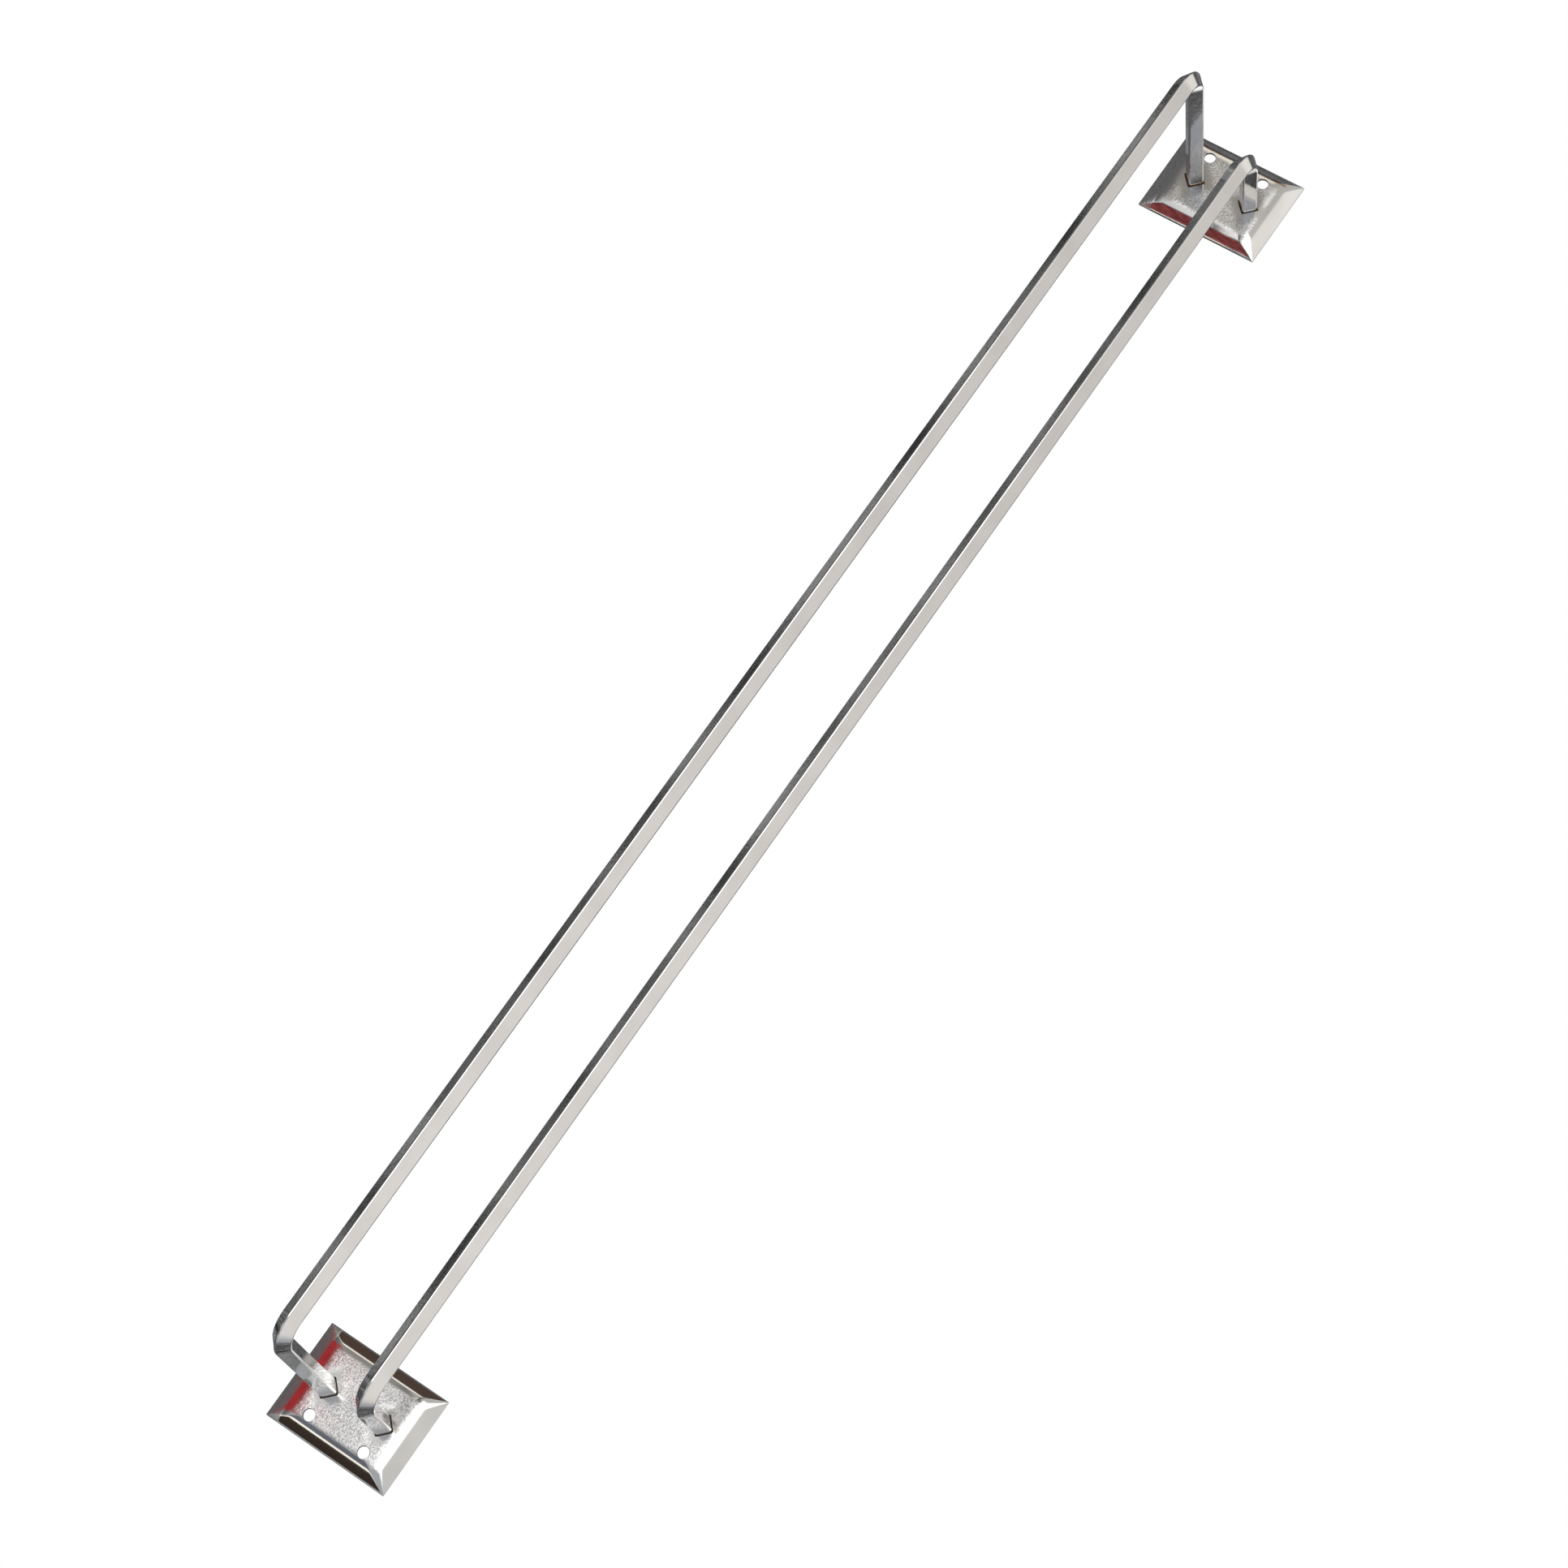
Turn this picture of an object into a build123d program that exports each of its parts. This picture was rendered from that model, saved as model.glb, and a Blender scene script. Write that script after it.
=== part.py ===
from build123d import *
import os

# Double towel rail: two bent square bars that stand on a pair of bevelled wall plates.
# Row frame, in millimetres: X runs along the rails, the wall is the plane Y = 0, the rack
# stands out of the wall towards -Y, and Z is up. The origin lies on the wall, midway
# between the two plates.

# Whole rack
plate_pitch = 609.6        # centre to centre of the wall plates, and of the legs (24 in)
outer_rail_height = 81.0   # wall to the axis of the outer rail
inner_rail_height = 41.5   # wall to the axis of the inner rail
rail_offset = 13.0         # each rail's axis above or below the plates' centre line

# Square bar, turned so that it stands on its corner
bar_side = 6.35            # 1/4 in
bar_edge_radius = 0.8
bend_radius = 10.0         # of the bar's axis
tapped_depth = 8.6         # hole up the axis of each leg

# Pressed wall plate
plate_length = 41.4        # along X
plate_width = 55.6         # along Z
plate_corner_radius = 0.3
rim_height = 0.6           # upright edge of the sheet at the wall
face_height = 3.8          # wall to the flat face
end_bevel = 4.4            # run of the bevel at the two ends along X
side_bevel = 5.8           # run of the bevel at the two sides along Z
face_corner_radius = 4.0
crease_radius = 2.5        # between bevel and face, outside
sheet = 1.0                # thickness of the sheet
rim_land = 0.9             # width of the rim that rests on the wall
roof_inset = 0.3           # the hollow's roof inside the outline of the face

# Pocket that keys each leg's foot, with the pad behind it
pocket_depth = 0.5
pocket_gap = 0.4           # all round the bar
pad_wall = 1.0             # the pad behind is this much larger than the pocket

# Wall-screw holes
wall_hole_diameter = 4.8
wall_hole_outboard = 12.0  # from the legs' plane, away from the middle of the rack
wall_hole_offset = 12.8    # above and below the centre line

# Low-head machine screw (M4) and washer that clamp each leg from behind
screw_diameter = 4.0
screw_reach = 8.0          # length of screw inside the leg
screw_tip_chamfer = 0.5
head_diameter = 7.5
head_height = 1.5
head_edge_radius = 0.5
recess_span = 4.0
recess_width = 1.0
recess_depth = 0.9
washer_diameter = 9.0
washer_thickness = 0.5
clearance_diameter = 4.3

# Levels above the wall, from the pocket's floor down to the screw's head
seat_level = face_height - pocket_depth
pad_level = seat_level - sheet
washer_level = pad_level - washer_thickness

# Local frame of every piece: first axis along the rails, second up, third out of the wall
wall = Plane(origin=(0, 0, 0), x_dir=(1, 0, 0), z_dir=(0, -1, 0))

sides = {"left": -1, "right": 1}
rails = {
    "outer": (outer_rail_height, -rail_offset),
    "inner": (inner_rail_height, rail_offset),
}


def rod(diameter, start, length):
    """Round rod out of the wall, from the level start."""
    return Pos(0, 0, start) * Cylinder(diameter / 2, length, align=(Align.CENTER, Align.CENTER, Align.MIN))


def diamond(side, edge_radius):
    """Rounded square that stands on its corner."""
    return Rot(0, 0, 45) * RectangleRounded(side, side, edge_radius)


def at_leg(side, up):
    """Place of a leg on the wall."""
    return Pos(sides[side] * plate_pitch / 2, up, 0)


def rail(axis_height, up):
    """One bar, bent at both ends to make its two legs, with a hole up each leg."""
    half = plate_pitch / 2
    path = FilletPolyline(
        (-half, up, seat_level),
        (-half, up, axis_height),
        (half, up, axis_height),
        (half, up, seat_level),
        radius=bend_radius,
    )
    start = Plane(origin=(-half, up, seat_level), x_dir=(1, 0, 0), z_dir=(0, 0, 1))
    bar = sweep(start * diamond(bar_side, bar_edge_radius), path=path)
    for side in sides:
        bar -= at_leg(side, up) * rod(screw_diameter, seat_level, tapped_depth)
    return bar


def plate_layer(length, width, corner_radius, level):
    """Rounded rectangle at a level above the wall."""
    return Pos(0, 0, level) * RectangleRounded(length, width, corner_radius)


def plate_shell():
    """Bevelled sheet, hollow behind, with a soft crease round its flat face."""
    rim = plate_layer(plate_length, plate_width, plate_corner_radius, 0)
    rim_top = plate_layer(plate_length, plate_width, plate_corner_radius, rim_height)
    face_length = plate_length - 2 * end_bevel
    face_width = plate_width - 2 * side_bevel
    face = plate_layer(face_length, face_width, face_corner_radius, face_height)
    body = loft([rim_top, face], ruled=True)
    body = fillet(body.faces().sort_by(Axis.Z)[-1].edges(), crease_radius)
    body += extrude(rim, rim_height)

    hollow_mouth = plate_layer(
        plate_length - 2 * rim_land, plate_width - 2 * rim_land, plate_corner_radius, 0
    )
    hollow_roof = plate_layer(
        face_length - 2 * roof_inset, face_width - 2 * roof_inset, face_corner_radius, face_height - sheet
    )
    hollow = loft([hollow_mouth, hollow_roof], ruled=True)
    hollow = fillet(hollow.faces().sort_by(Axis.Z)[-1].edges(), crease_radius - sheet)
    return body - hollow


def wall_plate(side):
    """Plate with two leg pockets, their screw holes and two wall-screw holes."""
    plate = plate_shell()
    pocket_side = bar_side + 2 * pocket_gap
    pocket_radius = bar_edge_radius + pocket_gap
    pad = Pos(0, 0, pad_level) * diamond(pocket_side + 2 * pad_wall, pocket_radius + pad_wall)
    pocket = Pos(0, 0, seat_level) * diamond(pocket_side, pocket_radius)
    for axis_height, up in rails.values():
        plate += Pos(0, up, 0) * extrude(pad, face_height - sheet - pad_level)
        plate -= Pos(0, up, 0) * extrude(pocket, sheet)
        plate -= Pos(0, up, 0) * rod(clearance_diameter, 0, face_height)
    for up in (-wall_hole_offset, wall_hole_offset):
        plate -= Pos(sides[side] * wall_hole_outboard, up, 0) * rod(wall_hole_diameter, 0, face_height)
    return at_leg(side, 0) * plate


def leg_screw():
    """Low-head screw with a cross recess, driven from the back of the plate."""
    head = rod(head_diameter, washer_level - head_height, head_height)
    head = fillet(head.edges().sort_by(Axis.Z)[0], head_edge_radius)
    shank = rod(screw_diameter, washer_level, seat_level + screw_reach - washer_level)
    shank = chamfer(shank.edges().sort_by(Axis.Z)[-1], screw_tip_chamfer)
    slot = Box(recess_span, recess_width, recess_depth, align=(Align.CENTER, Align.CENTER, Align.MIN))
    recess = slot + Rot(0, 0, 90) * slot
    return head + shank - Pos(0, 0, washer_level - head_height) * recess


def washer():
    """Plain washer under the screw's head."""
    ring = rod(washer_diameter, washer_level, washer_thickness)
    return ring - rod(clearance_diameter, washer_level, washer_thickness)


def write(shape, name):
    """Turn a piece from the local frame onto the wall and write it."""
    export_step(wall * shape, f"parts/{name}.step")


os.makedirs("parts", exist_ok=True)
for name, (axis_height, up) in rails.items():
    write(rail(axis_height, up), f"{name}_rail")
    for side in sides:
        write(at_leg(side, up) * leg_screw(), f"{name}_leg_screw_{side}")
        write(at_leg(side, up) * washer(), f"{name}_leg_washer_{side}")
for side in sides:
    write(wall_plate(side), f"wall_plate_{side}")
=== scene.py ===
import math

import bmesh
import bpy
from mathutils import Matrix, Vector


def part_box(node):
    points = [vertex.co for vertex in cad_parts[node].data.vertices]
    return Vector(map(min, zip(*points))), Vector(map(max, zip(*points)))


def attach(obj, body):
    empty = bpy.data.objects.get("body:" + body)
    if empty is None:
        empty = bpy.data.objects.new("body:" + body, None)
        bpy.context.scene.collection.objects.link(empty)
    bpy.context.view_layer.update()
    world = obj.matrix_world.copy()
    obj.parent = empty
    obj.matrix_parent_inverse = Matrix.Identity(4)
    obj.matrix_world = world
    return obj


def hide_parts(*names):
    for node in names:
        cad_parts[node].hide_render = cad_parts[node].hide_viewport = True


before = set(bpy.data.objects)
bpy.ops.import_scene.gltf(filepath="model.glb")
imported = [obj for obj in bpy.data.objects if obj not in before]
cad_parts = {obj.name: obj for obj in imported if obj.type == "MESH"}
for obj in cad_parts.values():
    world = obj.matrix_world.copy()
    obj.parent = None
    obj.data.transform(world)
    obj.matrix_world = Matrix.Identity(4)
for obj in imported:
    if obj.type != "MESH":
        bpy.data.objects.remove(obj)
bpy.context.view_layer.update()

MM = 0.001
SIDES = {"left": -1, "right": 1}
RAILS = ("outer", "inner")

# ---------------------------------------------------------------- sizes, from the frame

plate_low, plate_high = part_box("wall_plate_right")
PLATE_HALF_X = (plate_high.x - plate_low.x) / 2
PLATE_HALF_Z = (plate_high.z - plate_low.z) / 2
LEG_X = (plate_high.x + plate_low.x) / 2
FACE = -plate_low.y

RIM = 0.6 * MM
SHEET = 1.0 * MM
END_BEVEL = 4.4 * MM
SIDE_BEVEL = 5.8 * MM
FACE_CORNER = 4.0 * MM
RIM_CORNER = 0.3 * MM
RIM_LAND = 0.9 * MM
ROOF_INSET = 0.3 * MM

BAR_EDGE = 0.8 * MM
BEND = 10.0 * MM
POCKET_DEPTH = 0.5 * MM
POCKET_GAP = 0.4 * MM
PAD_WALL = 1.0 * MM
SCREW_RADIUS = 2.0 * MM
CLEARANCE_RADIUS = 2.15 * MM
TAPPED_DEPTH = 8.6 * MM
WALL_HOLE_RADIUS = 2.4 * MM
WALL_HOLE_OUTBOARD = 12.0 * MM
WALL_HOLE_OFFSET = 12.8 * MM

SEAT = FACE - POCKET_DEPTH


def rail_axis(name):
    """Height above the wall, offset along Z and half length of a rail's axis, with its bar's side."""
    low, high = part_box(f"{name}_rail")
    across = high.z - low.z
    side = (across + 2 * BAR_EDGE * (math.sqrt(2) - 1)) / math.sqrt(2)
    return -low.y - across / 2, (low.z + high.z) / 2, high.x - across / 2, side


LEG_Z = {name: rail_axis(name)[1] for name in RAILS}
BAR_SIDE = rail_axis("outer")[3]
FOOT_REACH = BAR_SIDE / math.sqrt(2) + POCKET_GAP    # centre of a leg to its pocket's corner


# ---------------------------------------------------------------- mesh helpers


def new_piece(name, bm):
    """A linked object that holds the finished bmesh."""
    mesh = bpy.data.meshes.new(name)
    bm.to_mesh(mesh)
    bm.free()
    piece = bpy.data.objects.new(name, mesh)
    bpy.context.scene.collection.objects.link(piece)
    return piece


def arc_points(centre, radius, start, end, steps):
    """Points along an arc in a plane, ends included."""
    angles = [start + (end - start) * i / steps for i in range(steps + 1)]
    return [(centre[0] + radius * math.cos(a), centre[1] + radius * math.sin(a)) for a in angles]


def rounded_rectangle(half_x, half_z, radius, steps=10):
    """Outline with the same number of points whatever its size."""
    points = []
    for quarter, (sx, sz) in enumerate(((1, 1), (-1, 1), (-1, -1), (1, -1))):
        centre = (sx * (half_x - radius), sz * (half_z - radius))
        start = quarter * math.pi / 2
        points += arc_points(centre, radius, start, start + math.pi / 2, steps)
    return points


def diamond(side, radius, steps=8):
    """Rounded square that stands on its corner."""
    turned = []
    c = math.sqrt(0.5)
    for x, z in rounded_rectangle(side / 2, side / 2, radius, steps):
        turned.append(((x - z) * c, (x + z) * c))
    return turned


def circle(radius, steps=48):
    return arc_points((0, 0), radius, 0, 2 * math.pi * (steps - 1) / steps, steps - 1)


def stack(levels, name, at=(0, 0)):
    """Closed solid through outlines at rising heights out of the wall."""
    bm = bmesh.new()
    rings = []
    for outline, height in levels:
        rings.append([bm.verts.new((at[0] + x, -height, at[1] + z)) for x, z in outline])
    for low, high in zip(rings, rings[1:]):
        for i in range(len(low)):
            j = (i + 1) % len(low)
            bm.faces.new((low[i], low[j], high[j], high[i]))
    bm.faces.new(rings[0])
    bm.faces.new(rings[-1])
    bmesh.ops.recalc_face_normals(bm, faces=bm.faces)
    return new_piece(name, bm)


def cut_or_join(piece, tool, operation):
    """Apply a boolean with a tool, and delete the tool."""
    modifier = piece.modifiers.new("boolean", "BOOLEAN")
    modifier.operation = operation
    modifier.solver = "EXACT"
    modifier.object = tool
    bpy.context.view_layer.update()
    made = bpy.data.meshes.new_from_object(piece.evaluated_get(bpy.context.evaluated_depsgraph_get()))
    piece.modifiers.clear()
    piece.data = made
    bpy.data.objects.remove(tool)


# ---------------------------------------------------------------- rails


def bar_section(side):
    """Section points with their outward normals, corner by corner."""
    steps = 8
    to_centre = (side / 2 - BAR_EDGE) * math.sqrt(2)
    section = []
    for quarter in range(4):
        middle = quarter * math.pi / 2
        for i in range(steps + 1):
            a = middle - math.pi / 4 + math.pi / 2 * i / steps
            normal = (math.cos(a), math.sin(a))
            centre = (to_centre * math.cos(middle), to_centre * math.sin(middle))
            section.append(((centre[0] + BAR_EDGE * normal[0], centre[1] + BAR_EDGE * normal[1]), normal))
    return section


def rail_stations(height, half):
    """Axis points with the in-plane direction that points away from the rack's inside."""
    bend_steps = 28
    leg_steps = 6
    bar_steps = 48
    corner = height - BEND
    half_path = [((half, -SEAT - (corner - SEAT) * i / leg_steps), 0.0) for i in range(leg_steps)]
    for i in range(bend_steps + 1):
        a = math.pi / 2 * i / bend_steps
        point = (half - BEND + BEND * math.cos(a), -corner - BEND * math.sin(a))
        half_path.append((point, a))
    straight = half - BEND
    middle = [((straight - 2 * straight * i / bar_steps, -height), math.pi / 2) for i in range(1, bar_steps)]
    other = [((-x, y), math.pi - a) for (x, y), a in reversed(half_path)]
    return half_path + middle + other


def build_rail(name):
    """Square bar on its corner, bent at both ends, with the tapped hole up each leg."""
    height, up, half, side = rail_axis(name)
    section = bar_section(side)
    bm = bmesh.new()
    normals = {}
    rings = []
    for (x, y), angle in rail_stations(height, half):
        out = Vector((math.cos(angle), -math.sin(angle), 0))
        ring = []
        for (p, q), (np, nq) in section:
            vert = bm.verts.new(Vector((x, y, up)) + out * p + Vector((0, 0, q)))
            normals[vert] = out * np + Vector((0, 0, nq))
            ring.append(vert)
        rings.append(ring)
    skin = []
    for a, b in zip(rings, rings[1:]):
        for i in range(len(a)):
            j = (i + 1) % len(a)
            skin.append(bm.faces.new((a[i], a[j], b[j], b[i])))
    for ring, sign in ((rings[0], 1), (rings[-1], -1)):
        tapped_hole(bm, ring, sign * half, up)
    bmesh.ops.recalc_face_normals(bm, faces=bm.faces)
    bm.verts.index_update()
    bm.faces.index_update()
    by_index = {v.index: n for v, n in normals.items()}
    skin_index = {f.index for f in skin}
    piece = new_piece(f"{name}_rail_bar", bm)
    mesh = piece.data
    mesh.polygons.foreach_set("use_smooth", [True] * len(mesh.polygons))
    loops = [None] * len(mesh.loops)
    for polygon in mesh.polygons:
        for loop in polygon.loop_indices:
            vertex = mesh.loops[loop].vertex_index
            loops[loop] = by_index[vertex] if polygon.index in skin_index else polygon.normal.copy()
    mesh.normals_split_custom_set(loops)
    return piece


def tapped_hole(bm, ring, x, up):
    """Foot of a leg: a flat ring round the hole, the hole's wall and its floor."""
    steps = len(ring)
    rim = []
    for vert in ring:
        offset = Vector((vert.co.x - x, 0, vert.co.z - up))
        rim.append(bm.verts.new(Vector((x, -SEAT, up)) + offset.normalized() * SCREW_RADIUS))
    floor = [bm.verts.new(v.co - Vector((0, TAPPED_DEPTH, 0))) for v in rim]
    for i in range(steps):
        j = (i + 1) % steps
        bm.faces.new((ring[i], ring[j], rim[j], rim[i]))
        bm.faces.new((rim[i], rim[j], floor[j], floor[i]))
    bm.faces.new(floor)


# ---------------------------------------------------------------- wall plates

LIP = 0.18 * MM            # rounding of the cut edges
OVERCUT = 1.0 * MM         # how far a cutter runs past the surface it leaves
PAD_OVERLAP = 0.2 * MM     # how far a pad runs into the sheet
SHARP_ANGLE = math.radians(32)

# Slope of the sheet at shares of the bevel's run: bowed bevel, tight crease, long soft run-out
CREASE = 0.13
RUN_OUT = 0.80
CREASE_SLOPE = 0.40
SLOPES = ((0.0, 1.14), (1 - CREASE, 0.88), (1 + CREASE, CREASE_SLOPE), (1 + CREASE + RUN_OUT, 0.0))
FACE_SHARE = SLOPES[-1][0]
FLAT_SHARE = FACE_SHARE + 0.05    # last outline, inside the flat face


def climb(share):
    """Area under the slopes up to a share of the bevel's run."""
    total = 0.0
    for (start, slope), (end, next_slope) in zip(SLOPES, SLOPES[1:]):
        reach = min(share, end) - start
        if reach <= 0:
            break
        total += reach * (slope + (next_slope - slope) * reach / (end - start) / 2)
    return total


def bevel_rise(share):
    """Rise from rim to face, 0 to 1, at a share of the bevel's run."""
    return climb(share) / climb(FACE_SHARE)


def bevel_shares(crease_steps, run_out_steps):
    """Shares of the bevel's run at which the sheet needs an outline."""
    shares = [0.15, 0.4, 0.7, 1 - CREASE]
    shares += [1 - CREASE + 2 * CREASE * i / crease_steps for i in range(1, crease_steps + 1)]
    shares += [1 + CREASE + RUN_OUT * i / run_out_steps for i in range(1, run_out_steps + 1)]
    return shares


def plate_outline(share, inset=0.0):
    """Outline of the plate at a share of the bevel's run in from its rim."""
    corner = RIM_CORNER + (FACE_CORNER - RIM_CORNER) * min(share, 1.0)
    return rounded_rectangle(
        PLATE_HALF_X - END_BEVEL * share - inset,
        PLATE_HALF_Z - SIDE_BEVEL * share - inset,
        corner,
    )


def plate_levels():
    """Outlines of the sheet's outside, from the rim to the flat face."""
    softened = 0.3 * LIP
    levels = [(plate_outline(0), 0.0), (plate_outline(0), RIM - LIP)]
    levels.append((plate_outline(0, softened), RIM - softened))
    for share in bevel_shares(6, 10):
        levels.append((plate_outline(share), RIM + (FACE - RIM) * bevel_rise(share)))
    levels.append((plate_outline(FLAT_SHARE), FACE))
    return levels


def hollow_levels():
    """Outlines of the hollow behind the sheet, from below the wall plane to its roof."""
    roof = FACE - SHEET
    levels = [(plate_outline(0, RIM_LAND), -OVERCUT), (plate_outline(0, RIM_LAND), 0.0)]
    for share in bevel_shares(4, 8):
        inset = RIM_LAND + (ROOF_INSET - RIM_LAND) * min(share, 1.0)
        levels.append((plate_outline(share, inset), roof * bevel_rise(share)))
    levels.append((plate_outline(FLAT_SHARE, ROOF_INSET), roof))
    return levels


def pocket_outline(grow):
    """Outline of the pocket round a leg, grown by a margin."""
    return diamond(BAR_SIDE + 2 * POCKET_GAP + 2 * grow, BAR_EDGE + POCKET_GAP + grow)


def wall_hole_outline(grow):
    return circle(WALL_HOLE_RADIUS + grow)


def lipped(outline, floor, top):
    """Levels of a cutter that leaves a rounded lip at the top. Outline takes the lip's growth."""
    steps = 4
    levels = [(outline(0.0), floor)]
    for i in range(steps + 1):
        a = math.pi / 2 * i / steps
        levels.append((outline(LIP * (1 - math.cos(a))), top - LIP * (1 - math.sin(a))))
    levels.append((outline(LIP), top + OVERCUT))
    return levels


def build_plate(side):
    """Bevelled sheet with leg pockets, the pads behind them and the screw holes."""
    plate = stack(plate_levels(), f"wall_plate_{side}_sheet")
    cut_or_join(plate, stack(hollow_levels(), "hollow"), "DIFFERENCE")
    pad_level = SEAT - SHEET
    pad_top = FACE - SHEET + PAD_OVERLAP
    for up in LEG_Z.values():
        pad = [(pocket_outline(PAD_WALL), pad_level), (pocket_outline(PAD_WALL + 2 * LIP), pad_top)]
        cut_or_join(plate, stack(pad, "pad", (0, up)), "UNION")
        pocket = lipped(pocket_outline, SEAT, FACE)
        cut_or_join(plate, stack(pocket, "pocket", (0, up)), "DIFFERENCE")
        bore = [(circle(CLEARANCE_RADIUS), 0.0), (circle(CLEARANCE_RADIUS), FACE)]
        cut_or_join(plate, stack(bore, "bore", (0, up)), "DIFFERENCE")
    for up in (-WALL_HOLE_OFFSET, WALL_HOLE_OFFSET):
        at = (SIDES[side] * WALL_HOLE_OUTBOARD, up)
        hole = lipped(wall_hole_outline, 0.0, FACE)
        cut_or_join(plate, stack(hole, "hole", at), "DIFFERENCE")
    plate.data.transform(Matrix.Translation((SIDES[side] * LEG_X, 0, 0)))
    plate.data.polygons.foreach_set("use_smooth", [True] * len(plate.data.polygons))
    plate.data.set_sharp_from_angle(angle=SHARP_ANGLE)
    weighted = plate.modifiers.new("weighted", "WEIGHTED_NORMAL")
    weighted.keep_sharp = True
    weighted.weight = 100    # larger faces set the normals, so the flats stay flat
    return plate


# ---------------------------------------------------------------- materials


class Shader:
    """Small helper that adds and links the nodes of one material or world."""

    def __init__(self, tree):
        self.tree = tree
        self.tree.nodes.clear()

    def add(self, kind, links=None, **settings):
        """Add a node. Links maps an input to a socket or a value; settings are the node's own."""
        node = self.tree.nodes.new(kind)
        for key, value in settings.items():
            setattr(node, key, value)
        for key, value in (links or {}).items():
            if isinstance(value, bpy.types.NodeSocket):
                self.tree.links.new(value, node.inputs[key])
            else:
                node.inputs[key].default_value = value
        return node

    def math(self, operation, a, b=0.0):
        return self.add("ShaderNodeMath", {0: a, 1: b}, operation=operation).outputs[0]

    def remap(self, value, low, high, to_low=0.0, to_high=1.0):
        """Smooth step from to_low at low to to_high at high, which may be the smaller of the two."""
        links = {"Value": value, "From Min": low, "From Max": high, "To Min": to_low, "To Max": to_high}
        return self.add("ShaderNodeMapRange", links, clamp=True, interpolation_type="SMOOTHSTEP").outputs[0]

    def parts(self, vector):
        """The three coordinates of a vector."""
        return self.add("ShaderNodeSeparateXYZ", {0: vector}).outputs

    def mix(self, factor, a, b):
        """Colour a where the factor is 0, b where it is 1."""
        node = self.add("ShaderNodeMix", {0: factor, 6: a, 7: b}, data_type="RGBA")
        return node.outputs[2]

    def noise(self, vector, scale, detail, roughness=0.5):
        links = {"Vector": vector, "Scale": scale, "Detail": detail, "Roughness": roughness}
        return self.add("ShaderNodeTexNoise", links).outputs[0]

    def stretch(self, vector, scale):
        return self.add("ShaderNodeMapping", {"Vector": vector, "Scale": scale}).outputs[0]


def new_material(name):
    material = bpy.data.materials.new(name)
    material.use_nodes = True
    return material, Shader(material.node_tree)


def finish_material(shader, colour, roughness, height, distance, strength):
    """Principled metal with the given colour, roughness and bump."""
    bump = shader.add("ShaderNodeBump", {"Height": height, "Distance": distance, "Strength": strength})
    links = {
        "Base Color": colour,
        "Metallic": 1.0,
        "Roughness": roughness,
        "Normal": bump.outputs[0],
    }
    principled = shader.add("ShaderNodeBsdfPrincipled", links)
    shader.add("ShaderNodeOutputMaterial", {0: principled.outputs[0]})


def rail_chrome():
    """Bright plating, faintly rippled and pitted."""
    material, s = new_material("rail_chrome")
    place = s.add("ShaderNodeTexCoord").outputs["Object"]
    ripple = s.noise(place, 330.0, 4.0, 0.7)
    streak = s.noise(s.stretch(place, (12.0, 400.0, 400.0)), 1.0, 3.0, 0.6)
    patch = s.noise(place, 60.0, 2.0)
    colour = s.mix(s.remap(patch, 0.3, 0.7), (0.80, 0.785, 0.765, 1), (0.86, 0.85, 0.835, 1))
    roughness = s.remap(s.math("ADD", streak, ripple), 0.7, 1.3, 0.04, 0.09)
    height = s.math("ADD", s.math("MULTIPLY", ripple, 0.8), s.math("MULTIPLY", streak, 0.2))
    finish_material(s, colour, roughness, height, distance=0.05 * MM, strength=0.5)
    return material


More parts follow.
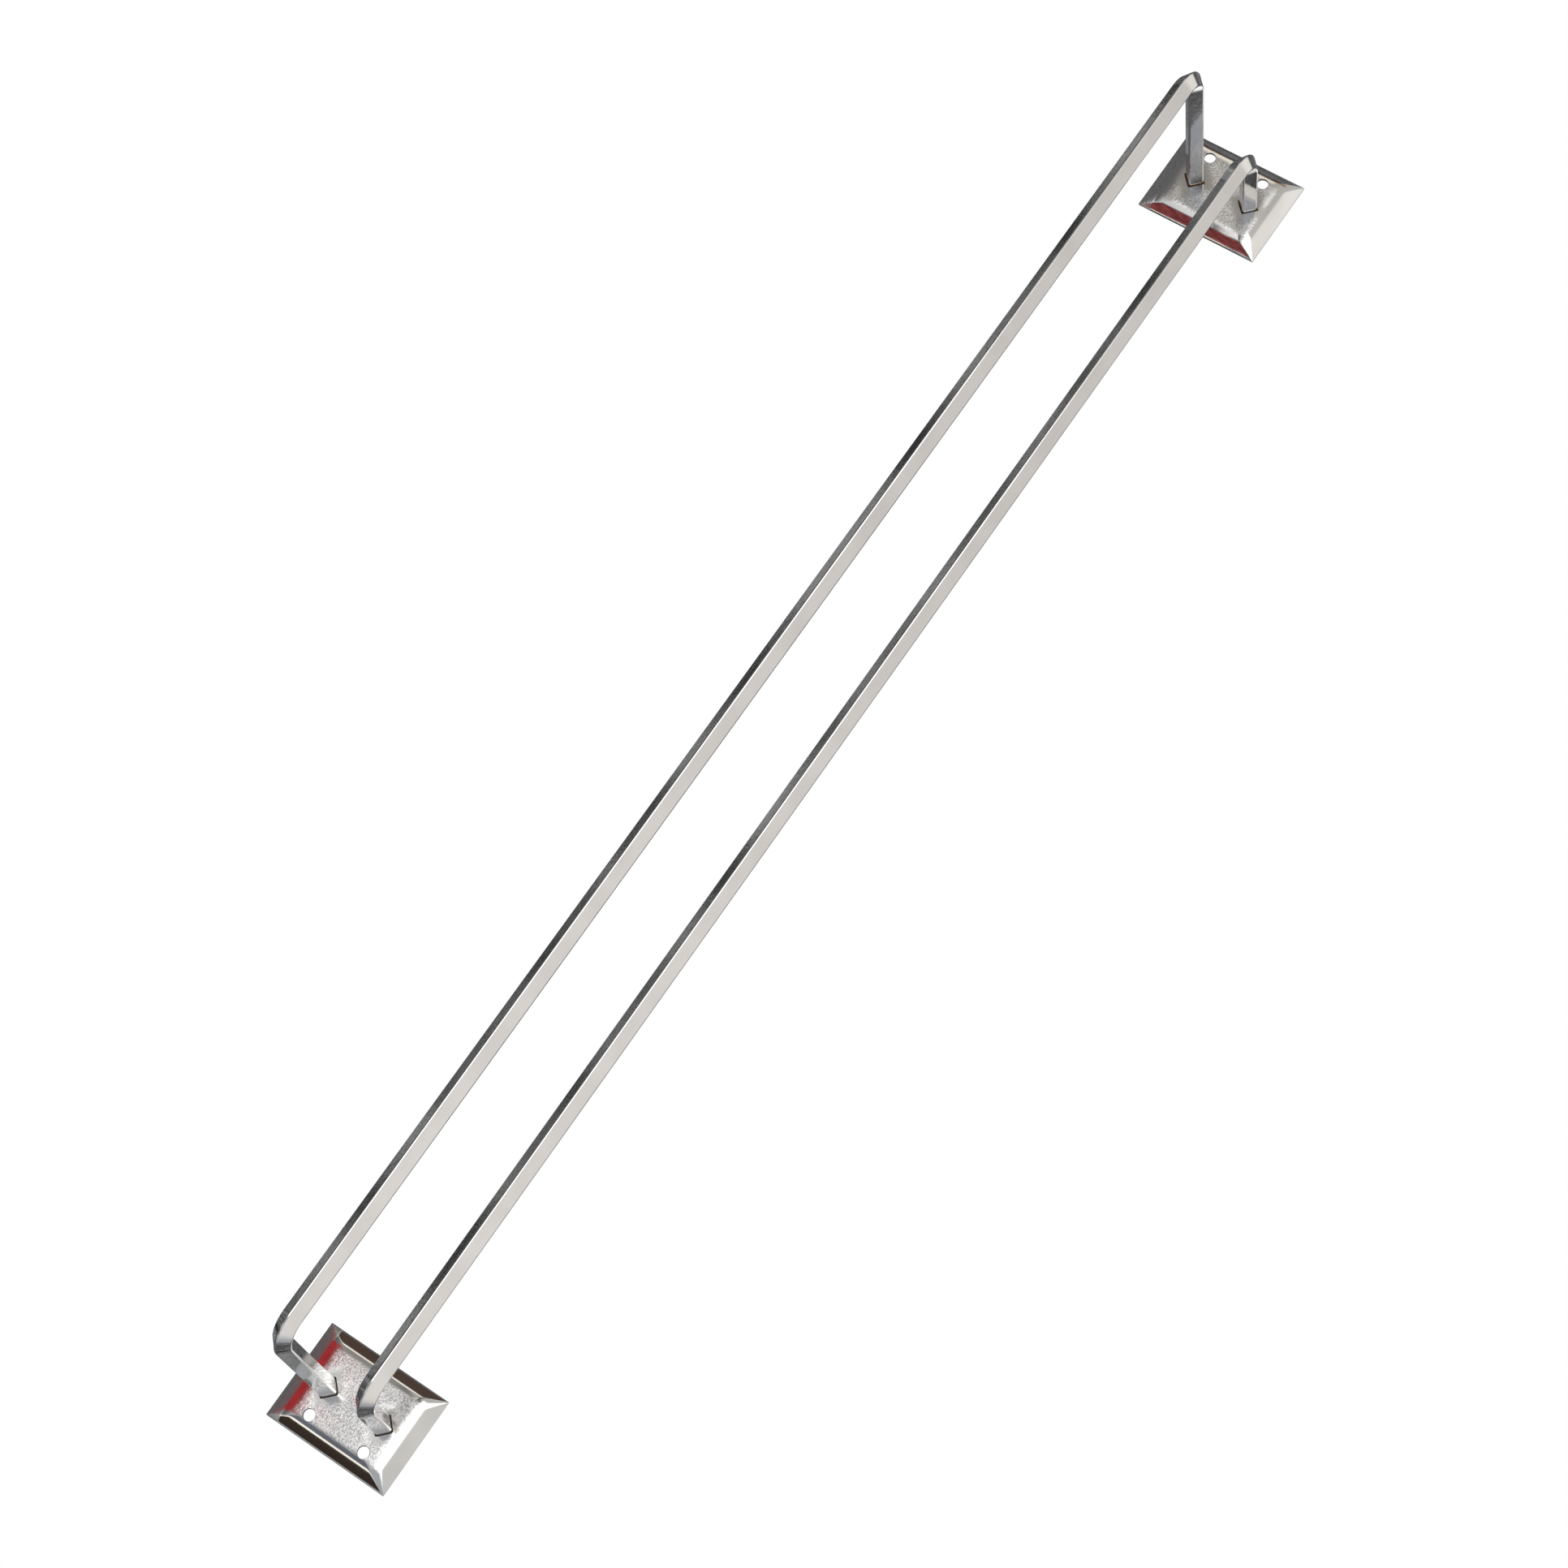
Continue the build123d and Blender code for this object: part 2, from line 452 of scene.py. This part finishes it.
def plate_chrome():
    """Plating on pressed sheet: satin grain on the face, bright on the bevels, stained at the feet, with
    painted shade in the gaps round the legs and on the screw holes' walls.
    """
    material, s = new_material("plate_chrome")
    place = s.add("ShaderNodeTexCoord").outputs["Object"]
    x, y, z = s.parts(place)
    outward = s.math("SUBTRACT", s.math("ABSOLUTE", x), LEG_X)
    along = s.math("ABSOLUTE", outward)
    across = s.math("ABSOLUTE", z)
    to_end = s.math("SUBTRACT", PLATE_HALF_X - END_BEVEL, along)
    to_side = s.math("SUBTRACT", PLATE_HALF_Z - SIDE_BEVEL, across)
    foot = s.math("ABSOLUTE", s.math("SUBTRACT", across, LEG_Z["inner"]))
    from_foot = s.math("SUBTRACT", s.math("ADD", along, foot), FOOT_REACH)
    left = s.remap(x, 20 * MM, -20 * MM)

    # Satin grain on the face, worn smooth round the feet and finer on the left plate
    on_face = s.remap(s.math("MINIMUM", to_end, to_side), 0.8 * MM, 3.6 * MM)
    satin = s.math("MULTIPLY", on_face, s.remap(from_foot, 1.0 * MM, 7.5 * MM, 0.15, 1.0))
    satin = s.math("MULTIPLY", satin, s.math("SUBTRACT", 1.0, s.math("MULTIPLY", left, 0.4)))
    grain = s.noise(place, 1250.0, 3.0, 0.8)
    patch = s.noise(place, 150.0, 3.0, 0.6)
    cloud = s.noise(place, 45.0, 2.0, 0.5)
    clean = s.mix(s.remap(cloud, 0.35, 0.65), (0.80, 0.79, 0.775, 1), (0.88, 0.87, 0.855, 1))
    pits = s.math("MULTIPLY", satin, s.remap(grain, 0.55, 0.42))
    clean = s.mix(pits, clean, (0.54, 0.54, 0.54, 1))

    # Rust at the feet and along one crease, more of it on the left plate
    at_foot = s.remap(from_foot, 0.9 * MM, 0.1 * MM)
    from_crease = s.math("ABSOLUTE", s.math("SUBTRACT", to_end, 0.2 * MM))
    at_end = s.math("MULTIPLY", s.remap(from_crease, 0.9 * MM, 0.3 * MM), s.remap(to_side, 0.0, 1.0 * MM))
    at_end = s.math("MULTIPLY", at_end, s.remap(x, -LEG_X, -LEG_X - 1.0 * MM))
    stain = s.math("MULTIPLY", s.math("MAXIMUM", at_foot, at_end), s.remap(patch, 0.38, 0.58))
    stained = s.math("MULTIPLY", stain, s.remap(left, 0.0, 1.0, 0.15, 0.85))
    colour = s.mix(stained, clean, (0.52, 0.34, 0.20, 1))

    # Painted shade: near-black colour in the gaps round the legs and on the cut walls of the screw holes
    hole_x = s.math("SUBTRACT", outward, WALL_HOLE_OUTBOARD)
    hole_z = s.math("SUBTRACT", across, WALL_HOLE_OFFSET)
    spread = s.math("ADD", s.math("MULTIPLY", hole_x, hole_x), s.math("MULTIPLY", hole_z, hole_z))
    from_hole = s.math("SUBTRACT", s.math("SQRT", spread), WALL_HOLE_RADIUS)
    painted_gap_shade = s.remap(s.math("MINIMUM", from_foot, from_hole), 0.08 * MM, -0.02 * MM)
    colour = s.mix(painted_gap_shade, colour, (0.075, 0.068, 0.06, 1))

    # Roughness and relief: satin on the face, a fine ripple on the lower bevel
    gloss = s.remap(s.math("ADD", patch, grain), 0.7, 1.3, 0.08, 0.21)
    roughness = s.math("ADD", 0.09, s.math("MULTIPLY", satin, gloss))
    # The painted shade in the gaps is also made rougher
    roughness = s.math("MAXIMUM", roughness, s.math("MULTIPLY", painted_gap_shade, 0.6))
    low_crease = SIDE_BEVEL - PLATE_HALF_Z
    lower = s.remap(z, low_crease, low_crease - 1.0 * MM, 0.08, 1.3)
    height = s.math("MULTIPLY", grain, s.math("MAXIMUM", lower, satin))
    finish_material(s, colour, roughness, height, distance=0.17 * MM, strength=0.7)
    return material


def screw_steel():
    """Zinc plating, slightly uneven."""
    material, s = new_material("screw_steel")
    place = s.add("ShaderNodeTexCoord").outputs["Object"]
    patch = s.noise(place, 500.0, 3.0, 0.6)
    colour = s.mix(s.remap(patch, 0.3, 0.7), (0.55, 0.54, 0.50, 1), (0.72, 0.71, 0.68, 1))
    roughness = s.remap(patch, 0.3, 0.7, 0.28, 0.42)
    finish_material(s, colour, roughness, patch, distance=0.03 * MM, strength=0.5)
    return material


# ---------------------------------------------------------------- surroundings


def build_world():
    """White to the camera. To the metal it is a pale room before a dark speckled ground."""
    world = bpy.data.worlds.new("studio")
    world.use_nodes = True
    bpy.context.scene.world = world
    s = Shader(world.node_tree)
    way = s.add("ShaderNodeTexCoord").outputs["Generated"]
    x, y, z = s.parts(way)

    def along(direction):
        """How nearly a ray runs in a direction, 1 when it does."""
        unit = tuple(Vector(direction).normalized())
        return s.add("ShaderNodeVectorMath", {0: way, 1: unit}, operation="DOT_PRODUCT").outputs["Value"]

    def patch(colour, direction, inner, outer, tint):
        """Colour with a round patch of tint, solid to the inner angle, gone at the outer one."""
        near = s.remap(along(direction), math.cos(math.radians(outer)), math.cos(math.radians(inner)))
        return s.mix(near, colour, tint)

    speckle = s.noise(way, 40.0, 3.0, 0.75)
    ground = s.mix(s.remap(speckle, 0.48, 0.60), (0.018, 0.019, 0.021, 1), (0.36, 0.365, 0.375, 1))

    # The room, from the floor before the rack up to the ceiling
    aside = s.remap(x, -0.42, -0.12)
    floor = (0.13, 0.13, 0.135, 1)
    front = s.mix(aside, (0.27, 0.255, 0.235, 1), (0.62, 0.62, 0.625, 1))
    window = s.mix(s.remap(x, -0.44, -0.34), (0.50, 0.49, 0.47, 1), (2.7, 2.7, 2.7, 1))
    window = s.mix(s.remap(x, 0.06, 0.24), window, (0.42, 0.44, 0.47, 1))
    upper = s.mix(aside, (0.88, 0.86, 0.83, 1), (0.66, 0.65, 0.63, 1))
    upper = s.mix(s.remap(x, 0.05, 0.22), upper, (0.40, 0.42, 0.46, 1))
    ceiling = s.mix(aside, (0.67, 0.65, 0.635, 1), (0.80, 0.785, 0.765, 1))
    room = s.mix(s.remap(z, -0.58, -0.40), floor, front)
    room = s.mix(s.remap(z, -0.30, -0.115), room, window)
    room = s.mix(s.remap(z, 0.21, 0.46), room, upper)
    room = s.mix(s.remap(z, 0.66, 0.82), room, ceiling)

    # Dark and bright things beside the rack, in the bevels at its ends
    room = patch(room, (0.38, -0.87, -0.33), 5, 11, (0.13, 0.14, 0.17, 1))
    room = patch(room, (0.64, -0.70, -0.32), 6, 10, (1.1, 1.05, 0.95, 1))
    room = patch(room, (0.84, -0.44, -0.33), 7, 13, (0.035, 0.024, 0.018, 1))
    room = patch(room, (-0.70, -0.63, -0.33), 4, 8, (1.0, 0.95, 0.85, 1))
    room = patch(room, (-0.88, -0.35, -0.33), 7, 13, (0.075, 0.05, 0.04, 1))

    colour = s.mix(s.remap(along((0, 0.86, -0.5)), -0.08, 0.08), room, ground)
    colour = patch(colour, (0, 0.95, -0.3), 8, 17, (0.5, 0.5, 0.5, 1))
    colour = patch(colour, (-0.25, 0.30, 0.92), 8, 14, (0.08, 0.08, 0.085, 1))
    colour = patch(colour, (-0.25, 0.90, 0.35), 9, 16, (1.2, 1.2, 1.2, 1))
    seen = s.add("ShaderNodeLightPath").outputs["Is Camera Ray"]
    final = s.mix(seen, colour, (1, 1, 1, 1))
    background = s.add("ShaderNodeBackground", {"Color": final, "Strength": 1.0})
    s.add("ShaderNodeOutputWorld", {0: background.outputs[0]})


def build_floor():
    """Plain pale floor, well below the rack, that throws nothing back on the metal."""
    depth = 1.2
    bm = bmesh.new()
    bmesh.ops.create_grid(bm, x_segments=1, y_segments=1, size=30.0)
    floor = new_piece("floor", bm)
    floor.location.z = -depth
    material, s = new_material("floor_white")
    glow = s.add("ShaderNodeEmission", {"Color": (1, 1, 1, 1), "Strength": 1.0})
    s.add("ShaderNodeOutputMaterial", {0: glow.outputs[0]})
    floor.data.materials.append(material)
    floor.visible_glossy = False
    floor.visible_diffuse = False
    floor.visible_shadow = False


CARD_FADE = 6 * MM         # width of a card's soft edge


def card_material(name, width, height, colour):
    """Glow with darker speckles that fades to nothing at the card's edges."""
    material, s = new_material(name)
    place = s.add("ShaderNodeTexCoord").outputs["Object"]
    x, y, _ = s.parts(place)
    speckle = s.noise(place, 260.0, 2.0, 0.6)
    dim = tuple(0.45 * part for part in colour[:3]) + (1,)
    tint = s.mix(s.remap(speckle, 0.40, 0.60), dim, colour)
    inside_x = s.remap(s.math("ABSOLUTE", x), 0.5 * width, 0.5 * width - CARD_FADE)
    inside_y = s.remap(s.math("ABSOLUTE", y), 0.5 * height, 0.5 * height - CARD_FADE)
    glow = s.add("ShaderNodeEmission", {"Color": tint, "Strength": 1.0})
    clear = s.add("ShaderNodeBsdfTransparent")
    solid = s.math("MULTIPLY", inside_x, inside_y)
    blend = s.add("ShaderNodeMixShader", {0: solid, 1: clear.outputs[0], 2: glow.outputs[0]})
    s.add("ShaderNodeOutputMaterial", {0: blend.outputs[0]})
    return material


def build_card(name, plate, seen_from, direction, distance, width, height, colour):
    """Coloured card, hidden from the camera, whose glow shows only in one plate."""
    away = Vector(direction).normalized()
    level = away.cross(Vector((0, 0, 1))).normalized()
    turn = Matrix((level, level.cross(away), away)).transposed().to_4x4()
    bm = bmesh.new()
    bmesh.ops.create_grid(bm, x_segments=1, y_segments=1, size=0.5)
    bmesh.ops.scale(bm, verts=bm.verts, vec=(width, height, 1))
    card = new_piece(name, bm)
    card.matrix_world = Matrix.Translation(Vector(seen_from) + away * distance) @ turn
    card.data.materials.append(card_material(name, width, height, colour))
    receivers = bpy.data.collections.new(f"{name}_receivers")
    receivers.objects.link(plate)
    card.light_linking.receiver_collection = receivers
    card.visible_camera = False
    card.visible_diffuse = False
    card.visible_shadow = False


def build_cards(plates):
    """Red cards that tint the lower side of one plate and the inner end of the other."""
    low_side = (LEG_X, -FACE, -PLATE_HALF_Z + SIDE_BEVEL + 1.5 * MM)
    towards = (-0.06, -0.78, -0.63)
    red = (0.50, 0.045, 0.05, 1)
    build_card("card_red", plates["right"], low_side, towards, 60 * MM, 72 * MM, 46 * MM, red)
    inner_end = (-LEG_X + PLATE_HALF_X - END_BEVEL / 2, -FACE / 2, 0)
    towards = (0.53, -0.80, -0.29)
    maroon = (0.27, 0.062, 0.062, 1)
    build_card("card_maroon", plates["left"], inner_end, towards, 34 * MM, 22 * MM, 66 * MM, maroon)


def build_softbox():
    """Large soft light before and above the rack."""
    light = bpy.data.lights.new("softbox", "AREA")
    light.shape = "SQUARE"
    light.size = 1.2
    light.energy = 12.0
    lamp = bpy.data.objects.new("softbox", light)
    bpy.context.scene.collection.objects.link(lamp)
    lamp.location = (0, -1.6, 1.2)
    lamp.rotation_euler = (-Vector(lamp.location)).to_track_quat("-Z", "Y").to_euler()
    lamp.visible_glossy = False


# ---------------------------------------------------------------- camera

AZIMUTH = math.radians(16.06)
ELEVATION = math.radians(17.70)
ROLL = math.radians(120.54)
TARGET = Vector((21.4, -30.0, 3.6)) * MM
DISTANCE = 1304.3 * MM
LENS = 77.69


def build_camera():
    """Camera looking at the rack from the front, a little from the right and above, rolled over."""
    flat = math.cos(ELEVATION)
    ahead = Vector((-math.sin(AZIMUTH) * flat, math.cos(AZIMUTH) * flat, -math.sin(ELEVATION)))
    level = ahead.cross(Vector((0, 0, 1))).normalized()
    upright = level.cross(ahead)
    right = math.cos(ROLL) * level + math.sin(ROLL) * upright
    up = right.cross(ahead)
    data = bpy.data.cameras.new("camera")
    data.lens = LENS
    data.sensor_width = 36.0
    data.clip_start = 0.01
    data.clip_end = 100.0
    camera = bpy.data.objects.new("camera", data)
    bpy.context.scene.collection.objects.link(camera)
    turn = Matrix((right, up, -ahead)).transposed().to_4x4()
    camera.matrix_world = Matrix.Translation(TARGET - ahead * DISTANCE) @ turn
    bpy.context.scene.camera = camera


# ---------------------------------------------------------------- assembly


def set_material(piece, material):
    piece.data.materials.clear()
    piece.data.materials.append(material)


def main():
    rail_material = rail_chrome()
    plate_material = plate_chrome()
    screw_material = screw_steel()
    for name in RAILS:
        bar = build_rail(name)
        set_material(bar, rail_material)
        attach(bar, "root")
        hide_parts(f"{name}_rail")
    plates = {}
    for side in SIDES:
        plate = build_plate(side)
        plates[side] = plate
        set_material(plate, plate_material)
        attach(plate, "root")
        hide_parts(f"wall_plate_{side}")
        for name in RAILS:
            for kind in ("screw", "washer"):
                set_material(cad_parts[f"{name}_leg_{kind}_{side}"], screw_material)
    build_world()
    build_floor()
    build_cards(plates)
    build_softbox()
    build_camera()
    bpy.context.scene.view_settings.view_transform = "Standard"


main()
